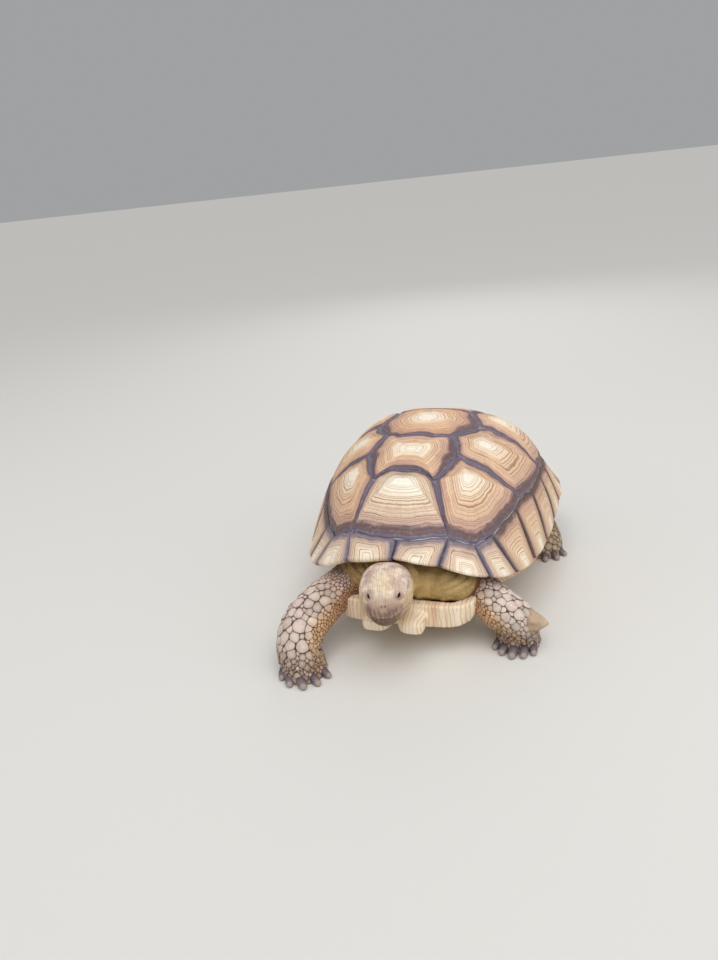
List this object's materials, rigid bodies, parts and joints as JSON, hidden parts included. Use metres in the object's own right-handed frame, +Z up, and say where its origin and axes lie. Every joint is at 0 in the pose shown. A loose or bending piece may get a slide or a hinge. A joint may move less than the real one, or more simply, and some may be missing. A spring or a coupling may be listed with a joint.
{
  "type": "sulcata tortoise",
  "caption": "Walking sulcata tortoise with a domed, growth-ringed shell, forked front lip and scaly legs, as a still life-size display model.",
  "frame": {"origin": "centre of the bounding box's footprint, on the floor", "axes": "+Z up, the head towards -Y, the tortoise's own left side at +X"},
  "size_m": [0.4236, 0.6357, 0.288],
  "materials": {
    "plate": "horn-like growth-ringed keratin, satin",
    "rim": "horn-like growth-ringed keratin, satin",
    "plastron": "horn-like keratin, satin",
    "skin": "dry wrinkled reptile skin, matt",
    "scale": "skin under hard rounded scales, matt",
    "head": "skin under small flat scales, matt",
    "eye": "wet and dark, glossy",
    "claw": "blunt keratin claws, satin"
  },
  "bodies": {
    "root": {"claw_front_left_1": "claw", "claw_front_left_2": "claw", "claw_front_left_3": "claw", "claw_front_left_4": "claw", "claw_front_left_5": "claw", "claw_front_right_1": "claw", "claw_front_right_2": "claw", "claw_front_right_3": "claw", "claw_front_right_4": "claw", "claw_front_right_5": "claw", "claw_rear_left_1": "claw", "claw_rear_left_2": "claw", "claw_rear_left_3": "claw", "claw_rear_left_4": "claw", "claw_rear_right_1": "claw", "claw_rear_right_2": "claw", "claw_rear_right_3": "claw", "claw_rear_right_4": "claw", "eye_left": "eye", "eye_right": "eye", "head": "head", "leg_front_left": "scale", "leg_front_right": "scale", "leg_rear_left": "scale", "leg_rear_right": "scale", "marginals_bridge_left": "rim", "marginals_bridge_right": "rim", "marginals_front_left": "rim", "marginals_front_right": "rim", "marginals_rear_left": "rim", "marginals_rear_right": "rim", "neck": "skin", "plastron_abdominal": "plastron", "plastron_anal": "plastron", "plastron_femoral": "plastron", "plastron_gular": "plastron", "plastron_humeral": "plastron", "plastron_pectoral": "plastron", "pleural_left_1": "plate", "pleural_left_2": "plate", "pleural_left_3": "plate", "pleural_left_4": "plate", "pleural_right_1": "plate", "pleural_right_2": "plate", "pleural_right_3": "plate", "pleural_right_4": "plate", "supracaudal": "rim", "tail": "skin", "trunk": "skin", "vertebral_1": "plate", "vertebral_2": "plate", "vertebral_3": "plate", "vertebral_4": "plate", "vertebral_5": "plate"}
  },
  "joints": []
}
